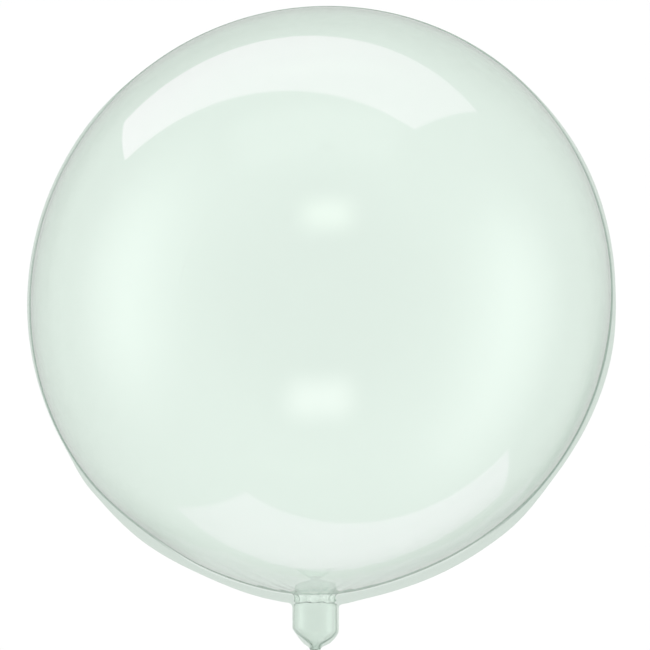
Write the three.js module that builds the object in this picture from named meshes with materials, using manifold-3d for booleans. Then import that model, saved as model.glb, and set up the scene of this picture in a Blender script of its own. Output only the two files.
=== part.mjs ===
// A clear bubble balloon lying on its side, in millimetres with +Z up.
//
// The balloon is one envelope of thin clear film: two halves welded edge to edge round a level
// seam, and drawn out at one end into a filling neck. The neck is gathered and twisted shut, and
// past the twist its end fans out in pleats. The air is sealed in, so the envelope is one solid.
//
// The origin is the middle of the small flat spot that the balloon rests on. The neck points
// along -Y. Directions round the seam are counted in degrees from the neck, positive towards +X.

import * as THREE from "three";
import { mergeVertices } from "three/addons/utils/BufferGeometryUtils.js";
import Module from "manifold-3d";

// Ball
const BALL_DIAMETER = 460;
const BALL_RADIUS = BALL_DIAMETER / 2;
const OVALNESS = 0.012; // how much the outline is longer, and across it shorter, than round
const OVAL_DIRECTION = 141; // the long axis, in degrees from the neck
// Where the film is drawn out at the neck's root, and lies in or out a little on each side of it:
// [degrees from the neck, how far, degrees that it spreads]
const PULLS = [
  [-1, 3.6, 14.5],
  [-36.5, -3.4, 10.5],
  [58, 1.3, 32],
];
const REST_RADIUS = 26; // the flat spot under the ball
const CENTRE_HEIGHT = Math.sqrt(BALL_RADIUS ** 2 - REST_RADIUS ** 2);

// Welded seam, a level fin round the ball: [degrees from the neck, width]
const SEAM_WIDTHS = [
  [-180, 1],
  [-144, 1.2],
  [-126, 2.8],
  [-90, 2.8],
  [-60, 2],
  [-50, 4.8],
  [-36, 8.9],
  [-22, 5.9],
  [-9, 7.4],
  [0, 10.2],
  [9, 7.8],
  [22, 8.3],
  [38, 7.7],
  [54, 4.1],
  [78, 5.2],
  [94, 3.3],
  [114, 3.5],
  [138, 1.8],
  [180, 1],
];
const SEAM_ROOT = 1.2; // thickness where it leaves the ball
const SEAM_EDGE = 0.6; // thickness at its cut edge

// Neck, a tube along -Y at the height of the ball's centre. Lengths are from the ball's centre.
const NECK_OFFSET = -4.4; // its axis lies a little to one side of the ball's
const NECK_ROOT = 218; // inside the ball
const COLLAR_START = 233.6;
const FLARE = 4; // radius of the concave curve that leads from the ball into the collar
const COLLAR_END = 241;
const COLLAR_RADIUS = 15;
const COLLAR_SWELL = 1;
const COLLAR_PUCKERS = 9;
const PUCKER_DEPTH = 1;
const PUCKER_PHASE = 94; // one pucker faces almost straight up
const TUBE_START = 243.6;
const TUBE_SECTION = [17.9, 18.7, 17]; // reach to -X and to +X with the weld down each side, half height

// The shoulder, gathered in from the tube to the waist: [length, reach to -X, reach to +X, half height]
const SHOULDER = [
  [261, ...TUBE_SECTION],
  [264, 16.1, 18.5, 16.6],
  [267, 14, 17, 14.8],
  [270, 11.7, 14.5, 12],
  [273, 9.1, 11.2, 8],
  [275.5, 5.6, 6, 4.6],
  [277.5, 4, 4, 3.8],
];

// Waist and tail
const WAIST_END = 283;
const WAIST_RADIUS = 4;
const WAIST_PLEATS = 8;
const WAIST_TWIST = 70; // degrees that the pleats turn along the shoulder, and again along the waist
const GATHER = 0.12; // depth of the waist's pleats, a share of its radius
const TAIL_END = 318;
const TAIL_HALF_WIDTH = 21;
const TAIL_HALF_HEIGHT = 4.5;
const TAIL_PLEAT = 0.2; // the same share at the tail's end
const TAIL_EDGE = 1.5; // half height of the open end's lip, pressed nearly flat

// Facets
const BALL_SIDES = 80;
const BALL_STEP = 5; // degrees of latitude
const NECK_SIDES = 54;

const FILM_COLOUR = 0xdff0e4;
const FILM_OPACITY = 0.35;
const FILM_ROUGHNESS = 0.06;

const radians = THREE.MathUtils.degToRad;
const lerp = THREE.MathUtils.lerp;
const smooth = (t) => THREE.MathUtils.smoothstep(t, 0, 1);

// Degrees between two directions round the seam, from -180 to 180.
function turn(direction) {
  return THREE.MathUtils.euclideanModulo(direction + 180, 360) - 180;
}

// The seam's width in a direction, eased from one named width to the next.
function seamWidth(direction) {
  const here = turn(direction);
  const next = SEAM_WIDTHS.findIndex(([degrees]) => degrees > here);
  const [fromDegrees, fromWidth] = SEAM_WIDTHS[next - 1];
  const [toDegrees, toWidth] = SEAM_WIDTHS[next];
  return lerp(fromWidth, toWidth, smooth((here - fromDegrees) / (toDegrees - fromDegrees)));
}

// A point of the ball's film, or of the seam where it stands out from the film.
function ballPoint(latitude, direction, standOut = 0, rise = 0) {
  const around = radians(direction);
  const up = radians(latitude);
  const oval = 1 + OVALNESS * Math.cos(2 * radians(direction - OVAL_DIRECTION));
  const flat = new THREE.Vector3(Math.sin(around), -Math.cos(around), 0);
  const outward = flat.clone().multiplyScalar(Math.cos(up));
  outward.z = Math.sin(up);
  const pull = PULLS.reduce((sum, [towards, far, spread]) => {
    const centre = new THREE.Vector3(Math.sin(radians(towards)), -Math.cos(radians(towards)), 0);
    const away = THREE.MathUtils.radToDeg(outward.angleTo(centre));
    return sum + far * Math.exp(-((away / spread) ** 2));
  }, 0);
  const point = flat.clone().multiplyScalar(BALL_RADIUS * Math.cos(up) * oval + standOut);
  point.z = BALL_RADIUS * Math.sin(up) + rise;
  return point.addScaledVector(outward, pull);
}

// A level ring of points round the ball, with standOut as a share of the seam's width.
function ballRing(latitude, standOut = 0, rise = 0) {
  const ring = [];
  for (let side = 0; side < BALL_SIDES; side += 1) {
    const direction = (360 * side) / BALL_SIDES;
    ring.push(ballPoint(latitude, direction, standOut * seamWidth(direction), rise));
  }
  return ring;
}

// A closed skin over rings of equally many points. Each end closes to its own middle, or the last to an apex.
function skinOver(rings, apex) {
  const sides = rings[0].length;
  const positions = [];
  const triangle = (a, b, c) => positions.push(...a, ...b, ...c);
  const middle = (ring) => {
    const sum = new THREE.Vector3();
    ring.forEach((point) => sum.add(point));
    return sum.divideScalar(ring.length);
  };
  const first = middle(rings[0]);
  const last = apex ?? middle(rings.at(-1));
  for (let side = 0; side < sides; side += 1) {
    const next = (side + 1) % sides;
    triangle(first, rings[0][next], rings[0][side]);
    triangle(last, rings.at(-1)[side], rings.at(-1)[next]);
    for (let row = 1; row < rings.length; row += 1) {
      triangle(rings[row - 1][side], rings[row - 1][next], rings[row][next]);
      triangle(rings[row - 1][side], rings[row][next], rings[row][side]);
    }
  }
  const geometry = new THREE.BufferGeometry();
  geometry.setAttribute("position", new THREE.Float32BufferAttribute(positions, 3));
  return mergeVertices(geometry, 1e-4);
}

// The ball with its flat spot below and the seam's fin round its middle.
function makeBall() {
  const rings = [];
  const restLatitude = -THREE.MathUtils.radToDeg(Math.asin(CENTRE_HEIGHT / BALL_RADIUS));
  const lowerSteps = Math.round(-restLatitude / BALL_STEP);
  for (let step = 0; step < lowerSteps; step += 1) {
    rings.push(ballRing(restLatitude * (1 - step / lowerSteps)));
  }
  rings.push(ballRing(0, 0, -SEAM_ROOT / 2));
  rings.push(ballRing(0, 1, -SEAM_EDGE / 2));
  rings.push(ballRing(0, 1, SEAM_EDGE / 2));
  rings.push(ballRing(0, 0, SEAM_ROOT / 2));
  for (let latitude = BALL_STEP; latitude < 90; latitude += BALL_STEP) {
    rings.push(ballRing(latitude));
  }
  return skinOver(rings, new THREE.Vector3(0, 0, BALL_RADIUS));
}

// A section of the neck: its reach to each side of the neck's axis, its half height and its pleats.
function neckRing(length, [left, right, halfHeight], pleats = 1, depth = 0, phase = 0) {
  const middle = NECK_OFFSET + (right - left) / 2;
  const halfWidth = (left + right) / 2;
  const ring = [];
  for (let side = 0; side < NECK_SIDES; side += 1) {
    const around = (2 * Math.PI * side) / NECK_SIDES;
    const ripple = 1 + depth * Math.cos(pleats * (around - radians(phase)));
    const x = middle + halfWidth * ripple * Math.cos(around);
    ring.push(new THREE.Vector3(x, -length, halfHeight * ripple * Math.sin(around)));
  }
  return ring;
}

// A round section of the neck.
function roundRing(length, radius, ...pleating) {
  return neckRing(length, [radius, radius, radius], ...pleating);
}

// The curve out of the ball and the collar, both puckered, and the rounded lip where the tube leaves them.
function collarRings() {
  const rings = [];
  const flareSteps = 4;
  for (let step = 0; step < flareSteps; step += 1) {
    const t = (Math.PI / 2) * (step / flareSteps);
    const length = COLLAR_START + FLARE * (1 - Math.cos(t));
    const radius = COLLAR_RADIUS + FLARE * (1 - Math.sin(t));
    const depth = (PUCKER_DEPTH * Math.sin(t)) / radius;
    rings.push(roundRing(length, radius, COLLAR_PUCKERS, depth, PUCKER_PHASE));
  }
  const collarSteps = 3;
  for (let step = 0; step <= collarSteps; step += 1) {
    const t = step / collarSteps;
    const length = lerp(COLLAR_START + FLARE, COLLAR_END, t);
    const radius = COLLAR_RADIUS + COLLAR_SWELL * Math.sin(Math.PI * t);
    const depth = (PUCKER_DEPTH * Math.cos((Math.PI / 2) * t)) / radius;
    rings.push(roundRing(length, radius, COLLAR_PUCKERS, depth, PUCKER_PHASE));
  }
  const lipSteps = 3;
  for (let step = 1; step <= lipSteps; step += 1) {
    const t = (Math.PI / 2) * (step / lipSteps);
    const section = TUBE_SECTION.map((reach) => lerp(COLLAR_RADIUS, reach, Math.sin(t)));
    rings.push(neckRing(lerp(TUBE_START, COLLAR_END, Math.cos(t)), section));
  }
  return rings;
}

// The shoulder, where the pleats deepen towards the waist.
function shoulderRings() {
  const [[start]] = SHOULDER;
  const [end] = SHOULDER.at(-1);
  return SHOULDER.map(([length, ...section]) => {
    const t = (length - start) / (end - start);
    return neckRing(length, section, WAIST_PLEATS, GATHER * t ** 2, WAIST_TWIST * t);
  });
}

// The twisted waist and the pleated tail that fans out past it.
function tailRings() {
  const rings = [roundRing(WAIST_END, WAIST_RADIUS, WAIST_PLEATS, GATHER, 2 * WAIST_TWIST)];
  const steps = 6;
  for (let step = 1; step <= steps; step += 1) {
    const t = step / steps;
    const halfWidth = lerp(WAIST_RADIUS, TAIL_HALF_WIDTH, t ** 0.8);
    const belly = lerp(WAIST_RADIUS, TAIL_HALF_HEIGHT, Math.sin(Math.PI * t));
    const section = [halfWidth, halfWidth, lerp(belly, TAIL_EDGE, t ** 3)];
    const depth = lerp(GATHER, TAIL_PLEAT, t);
    rings.push(neckRing(lerp(WAIST_END, TAIL_END, t), section, WAIST_PLEATS, depth, 2 * WAIST_TWIST));
  }
  return rings;
}

// The neck, from its root inside the ball to the end of its tail.
function makeNeck() {
  const root = roundRing(NECK_ROOT, COLLAR_RADIUS + FLARE);
  return skinOver([root, ...collarRings(), ...shoulderRings(), ...tailRings()]);
}

// Joins closed geometries into one.
function join(wasm, geometries) {
  const solids = geometries.map((geometry) => {
    const vertProperties = geometry.getAttribute("position").array;
    const triVerts = Uint32Array.from(geometry.getIndex().array);
    return new wasm.Manifold(new wasm.Mesh({ numProp: 3, vertProperties, triVerts }));
  });
  const mesh = solids.reduce((whole, solid) => whole.add(solid)).getMesh();
  const geometry = new THREE.BufferGeometry();
  geometry.setAttribute("position", new THREE.BufferAttribute(mesh.vertProperties, 3));
  geometry.setIndex(new THREE.BufferAttribute(mesh.triVerts, 1));
  geometry.computeVertexNormals();
  return geometry;
}

const wasm = await Module();
wasm.setup();

const film = new THREE.MeshStandardMaterial({
  color: FILM_COLOUR,
  roughness: FILM_ROUGHNESS,
  metalness: 0,
  transparent: true,
  opacity: FILM_OPACITY,
});

const balloon = new THREE.Mesh(join(wasm, [makeBall(), makeNeck()]), film);
balloon.name = "balloon";
balloon.position.z = CENTRE_HEIGHT;

const part = new THREE.Group();
part.add(balloon);

export default part;
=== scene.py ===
"""A clear bubble balloon lying on its side, seen from straight above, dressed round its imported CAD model.

The film is one mesh: a thin hollow wall over the ball, the welded seam, the neck and its gathered tail.
Everything is in metres, in the CAD's own frame. The origin is under the ball's centre, and the neck points
along -Y.
"""

import math
from collections import namedtuple

import bpy
import numpy as np
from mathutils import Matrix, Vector


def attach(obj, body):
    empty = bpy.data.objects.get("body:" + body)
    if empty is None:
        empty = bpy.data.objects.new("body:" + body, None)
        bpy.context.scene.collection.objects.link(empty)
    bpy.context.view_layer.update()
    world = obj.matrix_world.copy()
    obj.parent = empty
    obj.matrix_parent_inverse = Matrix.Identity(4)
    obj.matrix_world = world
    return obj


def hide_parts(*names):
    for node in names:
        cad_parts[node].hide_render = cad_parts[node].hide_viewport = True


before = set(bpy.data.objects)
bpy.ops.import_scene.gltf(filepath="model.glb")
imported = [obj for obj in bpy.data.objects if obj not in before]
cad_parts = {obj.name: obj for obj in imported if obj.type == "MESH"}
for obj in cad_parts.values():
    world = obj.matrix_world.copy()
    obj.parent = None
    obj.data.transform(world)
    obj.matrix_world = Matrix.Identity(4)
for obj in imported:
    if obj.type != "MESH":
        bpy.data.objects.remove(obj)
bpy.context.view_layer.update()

MM = 0.001

# The ball, as in the CAD source
BALL_RADIUS = 230 * MM
OVALNESS = 0.012
OVAL_DIRECTION = math.radians(141)  # the outline's long axis, counted from the neck towards +X
# Where the film is drawn out at the neck's root, and lies in or out a little beside it:
# degrees from the neck, how far, and the spread in degrees
PULLS = [(-1, 3.6 * MM, 14.5), (-36.5, -3.4 * MM, 10.5), (58, 1.3 * MM, 32)]
REST_RADIUS = 26 * MM
CENTRE_HEIGHT = math.sqrt(BALL_RADIUS**2 - REST_RADIUS**2)
FILM = 0.2 * MM  # the film's thickness

# The welded seam, a level fin round the ball: degrees from the neck towards +X, and its width
SEAM_WIDTHS = [
    (-180, 1.0 * MM), (-144, 1.2 * MM), (-126, 2.8 * MM), (-90, 2.8 * MM), (-60, 2.0 * MM),
    (-50, 4.8 * MM), (-36, 8.9 * MM), (-22, 5.9 * MM), (-9, 7.4 * MM), (0, 10.2 * MM),
    (9, 7.8 * MM), (22, 8.3 * MM), (38, 7.7 * MM), (54, 4.1 * MM), (78, 5.2 * MM),
    (94, 3.3 * MM), (114, 3.5 * MM), (138, 1.8 * MM), (180, 1.0 * MM),
]
SEAM_LEAST = 1.7 * MM  # a narrower seam has its whole section made smaller
LEAST_WIDTH = 1e-9
# Its section, out from the ball's film: the fused weld line, a flange that takes up the width, and the cut
# edge. The half thicknesses are at the weld line's root, middle and end, and at the cut edge's start and end.
WELD_LINE = 1.3 * MM
CUT_EDGE = 0.3 * MM
SEAM_HALF = (0.25 * MM, 0.4 * MM, 0.2 * MM, 0.15 * MM, 0.15 * MM)
WELD_STRIPS = 2  # how many strips of the section the weld line takes

# The neck, a tube along -Y; lengths are from the ball's centre
NECK_OFFSET = -4.4 * MM
NECK_RADIUS = 17.0 * MM
COLLAR_START = 233.6 * MM
FLARE = 4 * MM  # radius of the concave curve that leads from the ball into the collar
COLLAR_END = 241 * MM
COLLAR_RADIUS = 15.0 * MM
COLLAR_SWELL = 1.0 * MM
COLLAR_PUCKERS = 9
PUCKER_DEPTH = 1.0 * MM
PUCKER_PHASE = math.radians(94)  # one pucker faces almost straight up
PUCKER_REACH = 5 * MM  # how far the puckers run on over the ball
PUCKER_ON_BALL = 0.3  # their depth there, as a share of the collar's
GATHERS = 27  # finer creases that fan out from the neck
GATHER_DEPTH = 0.25 * MM
GATHER_REACH = 35 * MM
GATHER_CHANGE = 0.3  # the share of their depth that comes and goes round the neck
GATHER_CHANGES = 5  # how often it does
TUBE_START = 243.6 * MM
# The weld down the tube's sides, a narrow fin that widens into the ball's seam
TUBE_FIN_LEFT = 0.9 * MM
TUBE_FIN_RIGHT = 1.7 * MM
FILLET_START = 22.5 * MM  # where the seam's edge begins to turn down the tube, from the neck's axis
FILLET_END = 245.0 * MM  # where it has become the fin's edge
FILLET_BALL = 0.4  # the shares of the turn that lie beside the ball, and as far as the collar's end
FILLET_COLLAR = 0.7
# Below the tube the neck is pressed flat from both sides into a gathered waist:
# length, reach to the left and right of the neck's axis, how much of each is flat film, half height
SHOULDER = [
    (261.0, 17.9, 18.7, 0.9, 1.7, 17.0),
    (264.0, 16.1, 18.5, 1.9, 1.8, 16.6),
    (267.0, 14.0, 17.0, 3.4, 2.9, 14.8),
    (270.0, 11.7, 14.5, 4.8, 4.6, 12.0),
    (273.0, 9.1, 11.2, 5.6, 6.0, 8.0),
    (275.5, 5.6, 6.0, 3.2, 2.8, 4.6),
    (277.5, 4.0, 4.0, 0.0, 0.0, 3.8),
]
LEAST_FLAT = 0.05 * MM  # with less flat film than this, the shoulder has no fin
WAIST_END = 283 * MM
WAIST_RADIUS = 4 * MM
WAIST_PLEATS = 8
WAIST_PLEAT = 0.12  # the pleats' depth, as a share of the radius
WAIST_TWIST = math.radians(70)
TAIL_END = 318 * MM
TAIL_HALF_WIDTH = 21 * MM
TAIL_HALF_HEIGHT = 4.5 * MM
TAIL_EDGE = 1.5 * MM  # half height of its open end
TAIL_PLEAT = 0.2  # the pleats' depth at its open end
TAIL_SPREAD = 0.8  # below 1, the tail widens fastest near the waist
TAIL_CLOSING = 3  # the higher, the later the tail flattens to its end

# How dense the film is: 0 where the ball stretches it, 0.5 where two flat layers lie together, 1 where it is
# fused. The weld line's darkness is partly the fused weld's own tone and partly painted shade, a dark edge
# along the ball's outline; it goes by degrees from the neck.
WELD_AND_OUTLINE_SHADE_WEIGHTS = [
    (-180, 0.7), (-110, 0.75), (-60, 1.0), (-40, 0.85), (-30, 0.3), (30, 0.3), (45, 1.0), (80, 1.0),
    (124, 0.8), (180, 0.7),
]
FLANGE_WEIGHT = 0.5
# Those of the weld down the neck, partly painted shade too, and of the neck's own film, go by millimetres
# from the ball's centre
NECK_WELD_AND_OUTLINE_SHADE_WEIGHTS = [(234, 0.35), (262, 0.55), (268, 0.85), (283, 0.85)]
NECK_WEIGHTS = [
    (231, 0.0), (240, 0.08), (244, 0.17), (262, 0.17), (270, 0.22), (277, 0.45), (282, 0.3), (290, 0.12),
    (318, 0.08),
]
NECK_SPAN = 1.5 * TAIL_HALF_WIDTH  # these hold within this distance of the neck's axis
COLLAR_PAINTED_SHADE = 0.12  # painted shade: how much darker the collar's film is made between its puckers
# The film's tint at a density of 0, 0.5 and 1
FILM_STRETCHED = (0.896, 0.956, 0.9155, 1)
FILM_DOUBLE = (0.67, 0.75, 0.695, 1)
FILM_FUSED_AND_SHADED = (0.36, 0.46, 0.40, 1)
FILM_IOR = 1.45
SHARP_EDGE = math.radians(40)

# The camera, straight above
CAMERA_LENS = 300.0
CAMERA_SENSOR = 36.0
CAMERA_REACH = 100
BALL_IN_FRAME = 0.4478  # the ball's apparent radius as a share of the picture's side
LOOK_RIGHT = 3.4 * MM  # the picture's middle, from the ball's centre
LOOK_DOWN = 20.9 * MM


def make_camera():
    """The camera looks straight down, with the neck at the bottom of the picture."""
    camera = bpy.data.cameras.new("camera")
    camera.lens = CAMERA_LENS
    camera.sensor_width = CAMERA_SENSOR
    distance = BALL_RADIUS * math.hypot(1, CAMERA_LENS / CAMERA_SENSOR / BALL_IN_FRAME)
    eye = bpy.data.objects.new("camera", camera)
    eye.location = (LOOK_RIGHT, -LOOK_DOWN, CENTRE_HEIGHT + distance)
    camera.clip_end = CAMERA_REACH
    bpy.context.scene.collection.objects.link(eye)
    bpy.context.scene.camera = eye


def smooth(t):
    """Eases a share from 0 to 1, with a level start and end."""
    t = np.clip(t, 0, 1)
    return t * t * (3 - 2 * t)


def seam_width(direction):
    """The seam's width in a direction from the neck, in radians, eased from one named width to the next."""
    here = (np.degrees(direction) + 180) % 360 - 180
    for (low, from_width), (high, to_width) in zip(SEAM_WIDTHS, SEAM_WIDTHS[1:]):
        if low <= here <= high:
            return from_width + (to_width - from_width) * float(smooth((here - low) / (high - low)))
    return SEAM_WIDTHS[0][1]


# The way from the ball's centre to the neck's root, the way across it, and up
ROOT = np.array([NECK_OFFSET / BALL_RADIUS, -1, 0])
ROOT /= np.linalg.norm(ROOT)
SIDE = np.array([-ROOT[1], ROOT[0], 0])
UP = np.array([0, 0, 1.0])

# The mesh: columns of points round the neck's axis, an even number, and rings along it
COLUMNS = 180
BALL_RINGS = 120
FLARE_RINGS = 8
COLLAR_RINGS = 8
LIP_RINGS = 6
TUBE_RINGS = 12
SHOULDER_RINGS = 28
WAIST_RINGS = 8
TAIL_RINGS = 24
POLE_STEP = math.radians(0.15)  # the first ring, close round the far end
SEAM_POINTS = 2 * len(SEAM_HALF)
SEAM_SPACING = math.radians(0.15)  # between the seam's points where it doesn't stand out


def ball_point(outward, inset=0.0):
    """The film's point in a unit direction from the ball's centre, with its inner side at an inset."""
    direction = math.atan2(outward[0], -outward[1])
    oval = 1 + OVALNESS * math.cos(2 * (direction - OVAL_DIRECTION))
    point = outward * BALL_RADIUS * np.array([oval, oval, 1]) - outward * inset
    for towards, far, spread in PULLS:
        centre = np.array([math.sin(math.radians(towards)), -math.cos(math.radians(towards)), 0])
        away = math.degrees(math.acos(max(-1, min(1, float(outward @ centre)))))
        point += outward * far * math.exp(-((away / spread) ** 2))
    point[2] = max(point[2] + CENTRE_HEIGHT, inset)
    return point


def around_axis():
    """The angles round the neck's axis: one for each column, and the seam's own at its two sides."""
    half_seam = (SEAM_POINTS - 1) / 2
    angles = []
    for column in range(COLUMNS):
        middle = 2 * math.pi * column / COLUMNS
        if column % (COLUMNS // 2) == 0:
            angles += [middle + (k - half_seam) * SEAM_SPACING for k in range(SEAM_POINTS)]
        else:
            angles.append(middle)
    return angles


AROUND = around_axis()
RIGHT_SEAM = slice(0, SEAM_POINTS)
LEFT_SEAM = slice(COLUMNS // 2 + SEAM_POINTS - 1, COLUMNS // 2 + 2 * SEAM_POINTS - 1)


def stand_seam(ring, side, root, edge):
    """Puts the seam's points along a straight line from its root to its edge, on its lower and upper face."""
    width = np.linalg.norm(edge - root)
    scale = min(1, width / SEAM_LEAST)
    along = (edge - root) / max(width, LEAST_WIDTH)
    places = [0, WELD_LINE * scale / 2, WELD_LINE * scale, width - CUT_EDGE * scale, width]
    points = [root + along * place for place in places]
    low = [point - UP * half * scale for point, half in zip(points, SEAM_HALF)]
    high = [point + UP * half * scale for point, half in zip(points, SEAM_HALF)]
    ring[side] = low + high[::-1] if side == RIGHT_SEAM else high + low[::-1]


def seam_edge(root):
    """The seam's edge outside a point of the ball's outline."""
    level = np.array([root[0], root[1], 0])
    level /= np.linalg.norm(level)
    return root + level * seam_width(math.atan2(level[0], -level[1]))


def pucker(around):
    """The puckers round the collar, from -1 to 1."""
    return math.cos(COLLAR_PUCKERS * (around - PUCKER_PHASE))


def gather(around):
    """The fine creases round the neck's root, from -1 to 1, deeper in some places than in others."""
    change = GATHER_CHANGE * math.sin(GATHER_CHANGES * around + 1)
    return math.sin(GATHERS * around) * (1 - GATHER_CHANGE + change)


def flare(from_neck):
    """How near a ring is to the collar, from 0 to 1, and how far it is turned out along the neck."""
    near = 0.0
    if from_neck < math.pi / 2:
        near = float(np.clip(1 - (BALL_RADIUS * math.sin(from_neck) - COLLAR_RADIUS) / FLARE, 0, 1))
    return near, np.array([0, -FLARE * (1 - math.sqrt(1 - near**2)), 0])


def ball_ring(from_neck, inset=0.0):
    """Points round the neck's axis at an angle from the neck's root."""
    ring = []
    near, turned_out = flare(from_neck)
    beyond_collar = BALL_RADIUS * from_neck - COLLAR_RADIUS
    puckered = math.exp(-beyond_collar / PUCKER_REACH)
    depth = PUCKER_ON_BALL * PUCKER_DEPTH * puckered
    fine = GATHER_DEPTH * math.exp(-beyond_collar / GATHER_REACH) * (1 - puckered)
    for around in AROUND:
        ripple = (depth * pucker(around) + fine * gather(around)) * (1 - near)
        aside = math.cos(around) * SIDE + math.sin(around) * UP
        outward = math.cos(from_neck) * ROOT + math.sin(from_neck) * aside
        point = ball_point(outward, inset) + outward * ripple + turned_out
        ring.append(point + aside * near * (PUCKER_DEPTH * pucker(around) - inset))
    if not inset:
        for side, sign in ((RIGHT_SEAM, 1), (LEFT_SEAM, -1)):
            root = ball_point(math.cos(from_neck) * ROOT + sign * math.sin(from_neck) * SIDE) + turned_out
            across = sign * (seam_edge(root)[0] - NECK_OFFSET)
            if -root[1] > 0 and across < FILLET_START:
                share = (FILLET_START - across) / (FILLET_START - COLLAR_RADIUS)
                stand_seam(ring, side, root, fillet_edge(FILLET_BALL * share, sign))
            else:
                stand_seam(ring, side, root, seam_edge(root))
    return ring


def neck_ring(length, left, right, height, ripple=0.0, pleats=1, phase=0.0, inset=0.0):
    """A section of the neck, with its reach to each side of the neck's axis and its half height."""
    ring = []
    centre = np.array([NECK_OFFSET + (right - left) / 2, -length, CENTRE_HEIGHT])
    for around in AROUND:
        wave = 1 + ripple * math.cos(pleats * (around - phase))
        across = ((left + right) / 2 * wave - inset) * math.cos(around)
        ring.append(centre + np.array([across, 0, (height * wave - inset) * math.sin(around)]))
    return ring


def neck_point(length, across):
    """A point at the seam's height: how far from the ball's centre, and how far to the neck's right."""
    return np.array([NECK_OFFSET + across, -length, CENTRE_HEIGHT])


def fin_reach(sign):
    """How far the fin's edge lies from the neck's axis, down the tube's right side or its left."""
    return NECK_RADIUS + (TUBE_FIN_RIGHT if sign > 0 else TUBE_FIN_LEFT)


def fillet_edge(t, sign):
    """The rounded corner, in plan, from the seam's edge beside the neck to the fin's edge on the tube."""
    outside = (NECK_OFFSET + sign * FILLET_START) / BALL_RADIUS
    start = seam_edge(ball_point(np.array([outside, -math.sqrt(1 - outside**2), 0])))
    corner = neck_point(-start[1], sign * fin_reach(sign))
    end = neck_point(FILLET_END, sign * fin_reach(sign))
    return start * (1 - t) ** 2 + corner * 2 * t * (1 - t) + end * t**2


def collar_rings(inset=0.0):
    """The puckered collar at the neck's root and the groove below it, with the seam's web at its sides."""
    rings = []
    for step in range(1, COLLAR_RINGS + 1):
        t = step / COLLAR_RINGS
        length = COLLAR_START + FLARE + (COLLAR_END - COLLAR_START - FLARE) * t
        radius = COLLAR_RADIUS + COLLAR_SWELL * math.sin(math.pi * t)
        depth = PUCKER_DEPTH * math.cos(math.pi / 2 * t)
        share = depth / radius
        ring = neck_ring(length, radius, radius, radius, share, COLLAR_PUCKERS, PUCKER_PHASE, inset)
        if not inset:
            for side, sign in ((RIGHT_SEAM, 1), (LEFT_SEAM, -1)):
                edge = fillet_edge(FILLET_BALL + (FILLET_COLLAR - FILLET_BALL) * t, sign)
                stand_seam(ring, side, neck_point(length, sign * radius), edge)
        rings.append(ring)
    return rings


def tube_rings(inset=0.0):
    """The neck's rounded upper lip and its straight tube."""
    sections = []
    for step in range(1, LIP_RINGS + 1):
        turn = math.pi / 2 * step / LIP_RINGS
        radius = COLLAR_RADIUS + (NECK_RADIUS - COLLAR_RADIUS) * math.sin(turn)
        length = TUBE_START - (TUBE_START - COLLAR_END) * math.cos(turn)
        sections.append((length, radius, FILLET_COLLAR + (1 - FILLET_COLLAR) * step / LIP_RINGS))
    straight = SHOULDER[0][0] * MM - FILLET_END
    for step in range(TUBE_RINGS):
        sections.append((FILLET_END + straight * step / TUBE_RINGS, NECK_RADIUS, None))
    rings = []
    for length, radius, fillet in sections:
        ring = neck_ring(length, radius, radius, radius, inset=inset)
        if not inset:
            for side, sign in ((RIGHT_SEAM, 1), (LEFT_SEAM, -1)):
                edge = neck_point(length, sign * fin_reach(sign))
                if fillet is not None:
                    edge = fillet_edge(fillet, sign)
                stand_seam(ring, side, neck_point(length, sign * radius), edge)
        rings.append(ring)
    return rings


def shoulder_rings(inset=0.0):
    """The neck pressed together from its tube to its waist, with flat film outside the pressed part."""
    table = np.array(SHOULDER) * MM
    rings = []
    for length in np.linspace(table[0, 0], table[-1, 0], SHOULDER_RINGS + 1):
        left, right, flat_left, flat_right, height = (
            np.interp(length, table[:, 0], table[:, column]) for column in range(1, 6)
        )
        share = (length - table[0, 0]) / (table[-1, 0] - table[0, 0])
        pleat = WAIST_PLEAT * share**2
        twist = WAIST_TWIST * share
        ring = neck_ring(
            length, left - flat_left, right - flat_right, height, pleat, WAIST_PLEATS, twist, inset
        )
        if not inset:
            for side, reach, flat in ((RIGHT_SEAM, right, flat_right), (LEFT_SEAM, -left, -flat_left)):
                if abs(flat) > LEAST_FLAT:
                    stand_seam(ring, side, neck_point(length, reach - flat), neck_point(length, reach))
        rings.append(ring)
    return rings


def tail_rings():
    """The twisted waist, the tail that fans out past it, and the tail's inside, back from its open end."""
    rings = []
    radius = WAIST_RADIUS
    for step in range(1, WAIST_RINGS + 1):
        t = step / WAIST_RINGS
        length = SHOULDER[-1][0] * MM * (1 - t) + WAIST_END * t
        twist = WAIST_TWIST * (1 + t)
        rings.append(neck_ring(length, radius, radius, radius, WAIST_PLEAT, WAIST_PLEATS, twist))
    fan = [(step / TAIL_RINGS, 0.0) for step in range(1, TAIL_RINGS + 1)]
    fan += [(step / TAIL_RINGS, FILM) for step in range(TAIL_RINGS, 1, -1)]
    twist = WAIST_TWIST * 2
    for t, inset in fan:
        reach = radius + (TAIL_HALF_WIDTH - radius) * t**TAIL_SPREAD
        belly = radius + (TAIL_HALF_HEIGHT - radius) * math.sin(math.pi * t)
        closed = t**TAIL_CLOSING
        height = belly * (1 - closed) + TAIL_EDGE * closed
        length = WAIST_END + (TAIL_END - WAIST_END) * t
        pleat = WAIST_PLEAT + (TAIL_PLEAT - WAIST_PLEAT) * t
        rings.append(neck_ring(length, reach, reach, height, pleat, WAIST_PLEATS, twist, inset))
    return rings


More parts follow.
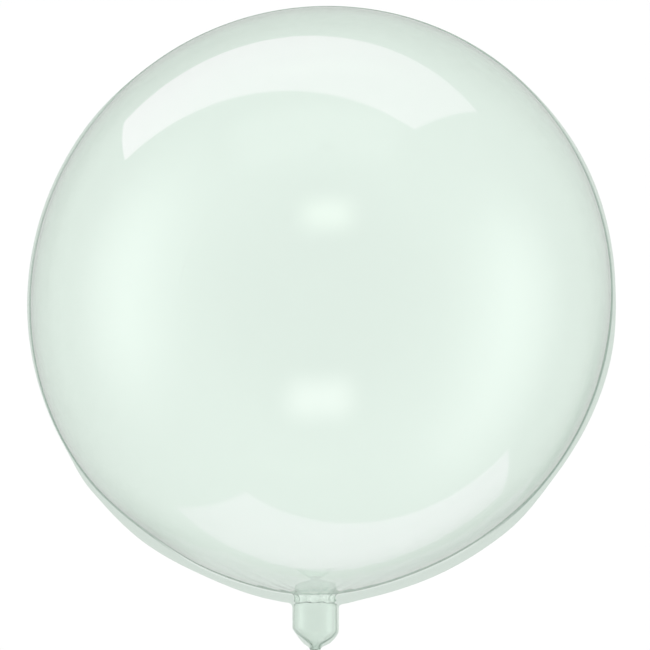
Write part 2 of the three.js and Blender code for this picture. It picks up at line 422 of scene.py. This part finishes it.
def skin(rings, start, flip=False):
    """Vertices and faces over rings of equal size, closed to a start point and to the last ring's middle."""
    sides = len(rings[0])
    vertices = [p for ring in rings for p in ring]
    vertices.append(start)
    vertices.append(np.mean(rings[-1], axis=0))
    first, last = len(vertices) - 2, len(vertices) - 1
    top = (len(rings) - 1) * sides
    faces = []
    for i in range(sides):
        j = (i + 1) % sides
        faces.append((first, j, i))
        faces.append((last, top + i, top + j))
        for row in range(len(rings) - 1):
            a, b = row * sides, (row + 1) * sides
            faces.append((a + i, a + j, b + j, b + i))
    if flip:
        faces = [tuple(reversed(face)) for face in faces]
    return vertices, faces


def film_material():
    """Clear glossy film, see-through by plain values, denser where it is welded or was never stretched, with
    painted shade along the weld line and between the collar's puckers.
    """
    material = bpy.data.materials.new("clear_film")
    material.use_nodes = True
    nodes, links = material.node_tree.nodes, material.node_tree.links
    shader = nodes["Principled BSDF"]
    shader.inputs["Transmission Weight"].default_value = 1
    shader.inputs["IOR"].default_value = FILM_IOR
    shader.inputs["Roughness"].default_value = 0
    density_and_shade_node = nodes.new("ShaderNodeAttribute")
    density_and_shade_node.attribute_name = "film_density_and_shade"
    ramp = nodes.new("ShaderNodeValToRGB")
    ramp.color_ramp.elements[0].color = FILM_STRETCHED
    ramp.color_ramp.elements[1].color = FILM_FUSED_AND_SHADED
    middle = ramp.color_ramp.elements.new(0.5)
    middle.color = FILM_DOUBLE
    links.new(density_and_shade_node.outputs["Fac"], ramp.inputs["Fac"])
    links.new(ramp.outputs["Color"], shader.inputs["Base Color"])
    return material


def looked_up(table, at):
    """The value at a place in a table of places and values, on straight lines between them."""
    places, values = zip(*table)
    return float(np.interp(at, places, values))


def film_density_and_shade(place, level):
    """How dense the film is at a place, with painted shade added along the weld line and between the collar's
    puckers. The level counts the seam's strips from its root, or is None.
    """
    length = -place[1] / MM
    if level is None:
        if abs(place[0] - NECK_OFFSET) > NECK_SPAN:
            return 0.0
        weight = looked_up(NECK_WEIGHTS, length)
        # painted shade in the hollows between the collar's puckers
        if COLLAR_START < -place[1] < COLLAR_END:
            around = math.atan2(place[2] - CENTRE_HEIGHT, place[0] - NECK_OFFSET)
            weight += COLLAR_PAINTED_SHADE * (1 - pucker(around)) / 2
        return weight
    if level >= WELD_STRIPS:
        return FLANGE_WEIGHT
    # painted shade: the weld line is darkened to draw the dark edge along the outline, on top of the fused
    # weld's own tone
    if length < COLLAR_START / MM:
        return looked_up(WELD_AND_OUTLINE_SHADE_WEIGHTS, math.degrees(math.atan2(place[0], -place[1])))
    return looked_up(NECK_WELD_AND_OUTLINE_SHADE_WEIGHTS, length)


def seam_level(face, sides):
    """Which strip of the seam a face of the outer skin belongs to, counted from its root, or None."""
    columns = sorted({i % sides for i in face})
    for seam in (RIGHT_SEAM, LEFT_SEAM):
        step = columns[0] - seam.start
        if len(columns) == 2 and columns[1] - columns[0] == 1 and 0 <= step < SEAM_POINTS - 1:
            return min(step, SEAM_POINTS - 2 - step)
    return None


def ring_angles():
    """The angles from the neck's root of the rings over the ball, from its far end into the flare."""
    start = math.asin((COLLAR_RADIUS + FLARE) / BALL_RADIUS)
    angles = [math.pi - POLE_STEP]
    for step in range(BALL_RINGS):
        angles.append(math.pi - (math.pi - start) * (step + 1) / BALL_RINGS)
    for step in range(FLARE_RINGS):
        turn = math.pi / 2 * (step + 1) / FLARE_RINGS
        angles.append(math.asin((COLLAR_RADIUS + FLARE * (1 - math.sin(turn))) / BALL_RADIUS))
    return angles


def make_film():
    """The balloon's film: its outer side with the seam, and its inner side, in one mesh."""
    angles = ring_angles()
    outer = [ball_ring(angle) for angle in angles]
    outer += collar_rings() + tube_rings() + shoulder_rings() + tail_rings()
    inner = [ball_ring(angle, FILM) for angle in angles]
    inner += collar_rings(FILM) + tube_rings(FILM) + shoulder_rings(FILM)
    vertices, faces, weights = [], [], []
    far_end = seam_edge(ball_point(-ROOT))
    for rings, end, inside in ((outer, far_end, False), (inner, ball_point(-ROOT, FILM), True)):
        points, polygons = skin(rings, end, inside)
        base = len(vertices)
        vertices += [tuple(p) for p in points]
        faces += [tuple(base + i for i in polygon) for polygon in polygons]
        for polygon in polygons:
            place = np.mean([points[i] for i in polygon], axis=0)
            level = None if inside else seam_level(polygon, len(AROUND))
            weights.append(film_density_and_shade(place, level))
    mesh = bpy.data.meshes.new("balloon_film")
    mesh.from_pydata(vertices, [], faces)
    mesh.shade_smooth()
    mesh.set_sharp_from_angle(angle=SHARP_EDGE)
    mesh.attributes.new("film_density_and_shade", "FLOAT", "FACE").data.foreach_set("value", weights)
    film = bpy.data.objects.new("balloon_film", mesh)
    bpy.context.scene.collection.objects.link(film)
    mesh.materials.append(film_material())
    film.visible_shadow = False
    film.visible_diffuse = False
    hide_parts("balloon")
    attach(film, "root")


# A light ray's counts. Above the first it has been mirrored. Above the second it has crossed both faces of
# the near film twice, on its way in to the far film and out again.
MIRRORED = 0.5
IN_AND_OUT = 3.0

FLOOR_HALF_SIDE = 20
FLOOR_GAP = 0.5 * MM  # keeps the film's flat spot off the floor
FLOOR_SHADE = 0.9


def make_stage():
    """A plain pale floor. The film's reflections look through it, at the studio below."""
    corners = [(-1, -1), (1, -1), (1, 1), (-1, 1)]
    vertices = [(x * FLOOR_HALF_SIDE, y * FLOOR_HALF_SIDE, -FLOOR_GAP) for x, y in corners]
    mesh = bpy.data.meshes.new("floor")
    mesh.from_pydata(vertices, [], [(0, 1, 2, 3)])
    floor = bpy.data.objects.new("floor", mesh)
    bpy.context.scene.collection.objects.link(floor)
    material = bpy.data.materials.new("floor")
    material.use_nodes = True
    nodes, links = material.node_tree.nodes, material.node_tree.links
    shader = nodes["Principled BSDF"]
    shader.inputs["Base Color"].default_value = (FLOOR_SHADE, FLOOR_SHADE, FLOOR_SHADE, 1)
    shader.inputs["Roughness"].default_value = 1
    shader.inputs["Specular IOR Level"].default_value = 0
    clear = nodes.new("ShaderNodeBsdfTransparent")
    path = nodes.new("ShaderNodeLightPath")
    mix = nodes.new("ShaderNodeMixShader")
    mirrored = nodes.new("ShaderNodeMath")
    mirrored.operation = "GREATER_THAN"
    mirrored.inputs[1].default_value = MIRRORED
    links.new(path.outputs["Glossy Depth"], mirrored.inputs[0])
    links.new(mirrored.outputs[0], mix.inputs[0])
    links.new(shader.outputs[0], mix.inputs[1])
    links.new(clear.outputs[0], mix.inputs[2])
    links.new(mix.outputs[0], nodes["Material Output"].inputs["Surface"])
    mesh.materials.append(material)


WORLD_WHITE = 1.12  # lights the floor, and is seen past it
# The studio that the film reflects: its tone at the zenith, where the camera stands, from the sides down, and
# straight below. The heights are those of the direction between which one tone changes into the next.
STUDIO_TINT = (0.955, 1.0, 0.965)
STUDIO_ABOVE = 0.45
STUDIO_BELOW = 0.70
STUDIO_UNDER = 0.755
ABOVE_HEIGHTS = (0.97, 0.5)
UNDER_HEIGHTS = (-0.75, -0.96)
# A soft panel of light: the direction that it lies in, its across axis, and its half size as shares of its
# distance, the softness of its edges and the light that it adds; and, where it needs them, how far its centre
# lies aside, its turn in degrees, how much brighter it is towards the zenith, and how far its ends are bent
Panel = namedtuple(
    "Panel", "towards across half soft light centre turn lean bow", defaults=((0, 0), 0, 0, 0)
)
HORIZON = 0.05  # a panel fades out where its plane would be seen edge on
LEAST_AHEAD = 1e-4
# To the left and right of the ball, and two that take light away below it
SIDE_PANELS = [
    Panel((-0.992, -0.008, 0.123), (0, 1, 0), half=(0.55, 0.30), soft=0.40, light=(0.75, 0.75, 0.75)),
    Panel((0.958, -0.242, 0.147), (0, 1, 0), half=(0.60, 0.30), soft=0.40, light=(0.75, 0.75, 0.75)),
    Panel((0.36, -0.30, -0.88), (1, 1, 0), half=(0.30, 0.06), soft=0.20, light=(-0.25, -0.22, -0.24)),
    Panel((0.0, -0.62, -0.78), (1, 0, 0), half=(0.55, 0.20), soft=0.18, light=(-0.14, -0.13, -0.14)),
]
# The wide panel past the ball's far end, two faint ones, and the small bright one over the neck, which only
# the near film mirrors. The far film has a wide and a small one of its own, so that the images in each film
# can be set in place separately.
NEAR_PANELS = [
    Panel(
        (0, 1, 0), (1, 0, 0), half=(1.066, 0.356), soft=0.02, light=(1.05, 0.66, 0.95),
        centre=(-0.323, -0.449), turn=24.0, lean=0.25, bow=-0.09,
    ),
    Panel((-0.05, 0.93, 0.37), (1, 0, 0), half=(0.50, 0.22), soft=0.12, light=(0.3, 0.3, 0.3)),
    Panel((0.65, -0.75, 0.07), (1, 0.9, 0), half=(0.22, 0.30), soft=0.30, light=(0.4, 0.4, 0.4)),
    Panel((0.009, -0.633, 0.774), (1, 0, 0), half=(0.20, 0.13), soft=0.12, light=(1.7, 1.6, 1.6)),
]
FAR_PANELS = [
    Panel(
        (0, 1, 0), (1, 0, 0), half=(0.884, 0.390), soft=0.02, light=(0.92, 0.44, 0.82),
        centre=(-0.270, -0.745), turn=24.5, lean=0.35,
    ),
    Panel((-0.028, -0.567, 0.823), (1, 0, 0), half=(0.16, 0.10), soft=0.12, light=(2.5, 2.3, 2.2)),
]


def make_light():
    """A white world, in which the film's reflections see a darker studio with soft panels."""
    world = bpy.data.worlds.new("studio")
    bpy.context.scene.world = world
    world.use_nodes = True
    nodes, links = world.node_tree.nodes, world.node_tree.links
    background = nodes["Background"]
    coordinate = nodes.new("ShaderNodeTexCoord").outputs["Generated"]

    def math_node(operation, *values):
        """One step of arithmetic on sockets and plain numbers."""
        node = nodes.new("ShaderNodeMath")
        node.operation = operation
        for socket, value in zip(node.inputs, values):
            if isinstance(value, (int, float)):
                socket.default_value = value
            else:
                links.new(value, socket)
        return node.outputs[0]

    def dot(vector):
        """How far the direction looked in goes along a vector."""
        node = nodes.new("ShaderNodeVectorMath")
        node.operation = "DOT_PRODUCT"
        links.new(coordinate, node.inputs[0])
        node.inputs[1].default_value = vector
        return node.outputs["Value"]

    def ease(value, low, high):
        """A share that goes smoothly from 0 at one value to 1 at the other."""
        node = nodes.new("ShaderNodeMapRange")
        node.interpolation_type = "SMOOTHSTEP"
        links.new(value, node.inputs["Value"])
        node.inputs["From Min"].default_value = low
        node.inputs["From Max"].default_value = high
        return node.outputs["Result"]

    def tinted(value, colour, onto):
        """A colour times a value, added onto another colour if there is one."""
        node = nodes.new("ShaderNodeVectorMath")
        node.operation = "MULTIPLY_ADD"
        links.new(value, node.inputs[0])
        node.inputs[1].default_value = colour
        if onto is not None:
            links.new(onto, node.inputs[2])
        return node.outputs["Vector"]

    def shining(panel):
        """How much of a panel's light shows in each direction."""
        normal = Vector(panel.towards).normalized()
        across = Vector(panel.across)
        across = (across - normal * normal.dot(across)).normalized()
        up = across.cross(normal)
        turn = math.radians(panel.turn)
        along = across * math.cos(turn) + up * math.sin(turn)
        over = up * math.cos(turn) - across * math.sin(turn)
        middle = normal + across * panel.centre[0] + up * panel.centre[1]
        ahead = math_node("MAXIMUM", dot(normal), LEAST_AHEAD)
        parts = [ease(dot(normal), 0.0, HORIZON)]
        bend = 0.0
        for axis, reach in ((along, panel.half[0]), (over, panel.half[1])):
            place = math_node("DIVIDE", dot(axis), ahead)
            offset = math_node("SUBTRACT", place, middle.dot(axis))
            offset = math_node("SUBTRACT", offset, bend)
            away = math_node("ABSOLUTE", offset)
            parts.append(ease(away, reach + panel.soft, reach - panel.soft))
            bend = math_node("MULTIPLY", math_node("MULTIPLY", offset, offset), panel.bow)
        brighter = math_node("MULTIPLY_ADD", offset, panel.lean / panel.half[1], 1.0)
        shape = math_node("MULTIPLY", math_node("MULTIPLY", *parts[:2]), parts[2])
        return math_node("MULTIPLY", shape, brighter)

    height = dot((0, 0, 1))
    lower = ease(height, *ABOVE_HEIGHTS)
    level = math_node("MULTIPLY_ADD", lower, STUDIO_BELOW - STUDIO_ABOVE, STUDIO_ABOVE)
    lowest = ease(height, *UNDER_HEIGHTS)
    level = math_node("MULTIPLY_ADD", lowest, STUDIO_UNDER - STUDIO_BELOW, level)
    studio = tinted(level, STUDIO_TINT, None)
    path = nodes.new("ShaderNodeLightPath")
    through = math_node("GREATER_THAN", path.outputs["Transmission Depth"], IN_AND_OUT)
    before = math_node("SUBTRACT", 1.0, through)
    for panel in SIDE_PANELS:
        studio = tinted(shining(panel), panel.light, studio)
    for panels, share in ((NEAR_PANELS, before), (FAR_PANELS, through)):
        for panel in panels:
            studio = tinted(math_node("MULTIPLY", shining(panel), share), panel.light, studio)
    mix = nodes.new("ShaderNodeMix")
    mix.data_type = "RGBA"
    straight_tone, mirrored_tone = mix.inputs[6], mix.inputs[7]  # the colour inputs, A and B
    straight_tone.default_value = (WORLD_WHITE, WORLD_WHITE, WORLD_WHITE, 1)
    links.new(math_node("GREATER_THAN", path.outputs["Glossy Depth"], MIRRORED), mix.inputs["Factor"])
    links.new(studio, mirrored_tone)
    links.new(mix.outputs[2], background.inputs["Color"])


make_camera()
make_stage()
make_light()
make_film()

scene = bpy.context.scene
scene.view_settings.view_transform = "Standard"
